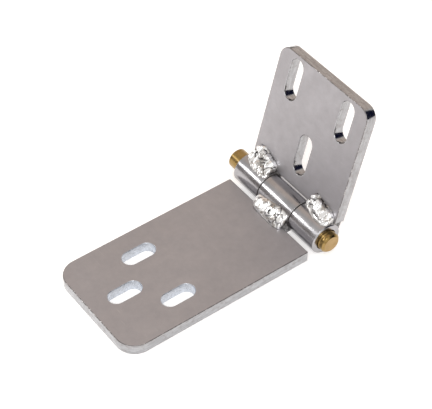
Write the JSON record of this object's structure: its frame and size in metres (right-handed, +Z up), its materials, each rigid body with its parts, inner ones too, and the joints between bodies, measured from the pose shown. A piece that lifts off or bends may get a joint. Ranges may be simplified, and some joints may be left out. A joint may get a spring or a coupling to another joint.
{
  "type": "hinged roof anchor",
  "caption": "Two slotted steel plates joined by a welded three-knuckle barrel on a brass pin; the base bolts down flat and the upright leaf swings to any pitch.",
  "frame": {"origin": "middle of the base plate's underside", "axes": "+X along the hinge pin, +Y along the base plate towards the hinge, +Z up out of the base plate"},
  "size_m": [0.1224, 0.2296, 0.1274],
  "materials": {
    "plate_zinc": "zinc-plated hot-rolled plate, satin",
    "barrel_zinc": "turned and zinc-plated, bright",
    "pin_brass": "drawn brass rod, lightly tarnished",
    "weld_metal": "zinc-plated weld bead, bright and rough"
  },
  "bodies": {
    "base_leaf": {"base_plate": "plate_zinc", "centre_knuckle": "barrel_zinc", "hinge_pin": "pin_brass", "centre_weld": "weld_metal", "centre_rear_weld": "weld_metal"},
    "upright_leaf": {"upright_plate": "plate_zinc", "left_knuckle": "barrel_zinc", "right_knuckle": "barrel_zinc", "left_weld": "weld_metal", "left_rear_weld": "weld_metal", "right_weld": "weld_metal", "right_rear_weld": "weld_metal"}
  },
  "joints": [
    {"name": "hinge", "type": "hinge", "parent": "base_leaf", "child": "upright_leaf", "pos_m": [0, 0.1018, 0.0136], "axis": [1, 0, 0], "range_deg": [-75.3, 87]}
  ]
}
